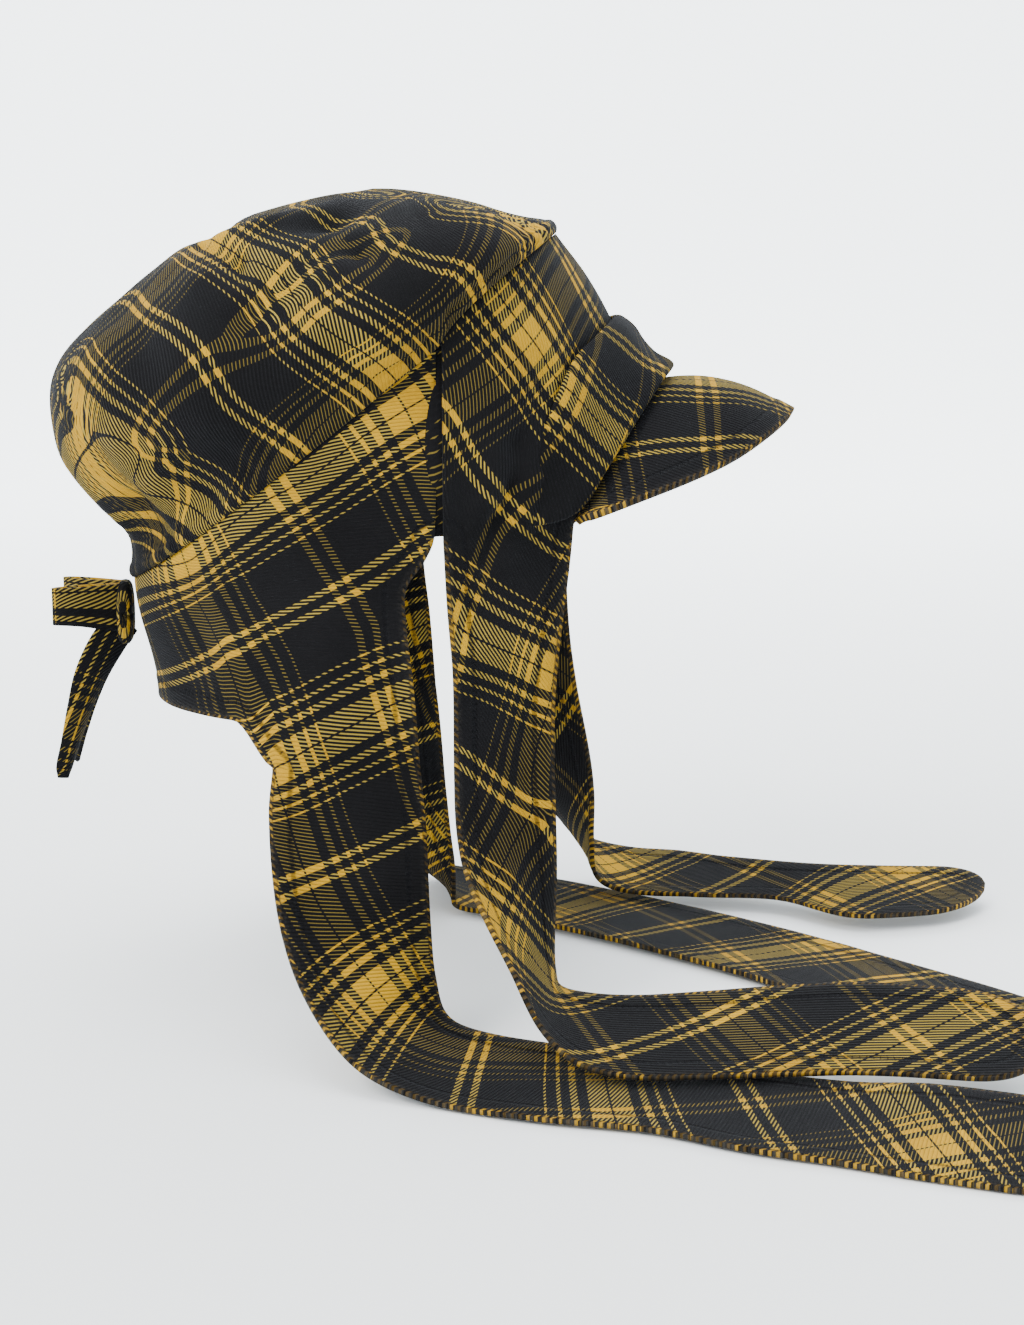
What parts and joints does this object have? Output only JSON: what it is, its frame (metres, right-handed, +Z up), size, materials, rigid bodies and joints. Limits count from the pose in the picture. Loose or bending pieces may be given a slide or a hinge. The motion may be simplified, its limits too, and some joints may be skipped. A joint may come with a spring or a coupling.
{
  "type": "cloth cap",
  "caption": "Plaid cloth cap with a puffed crown, a curved peak under a pleated cuff, side flaps with long hanging ties and a small back bow.",
  "frame": {"origin": "middle of the head opening, level with the ears, between the temples and the nape", "axes": "+X towards the peak, +Y towards the wearer's left, +Z up through the crown"},
  "size_m": [0.4257, 0.3767, 0.3354],
  "materials": {
    "plaid_cloth": "matt twill weave, charcoal with mustard plaid"
  },
  "bodies": {
    "root": {"crown": "plaid_cloth", "front_panel": "plaid_cloth", "forehead_cuff": "plaid_cloth", "peak": "plaid_cloth", "right_side_flap": "plaid_cloth", "left_side_flap": "plaid_cloth", "right_front_tie": "plaid_cloth", "left_front_tie": "plaid_cloth", "back_bow_knot": "plaid_cloth", "back_bow_right_loop": "plaid_cloth", "back_bow_left_loop": "plaid_cloth", "back_bow_right_tail": "plaid_cloth", "back_bow_left_tail": "plaid_cloth"}
  },
  "joints": []
}
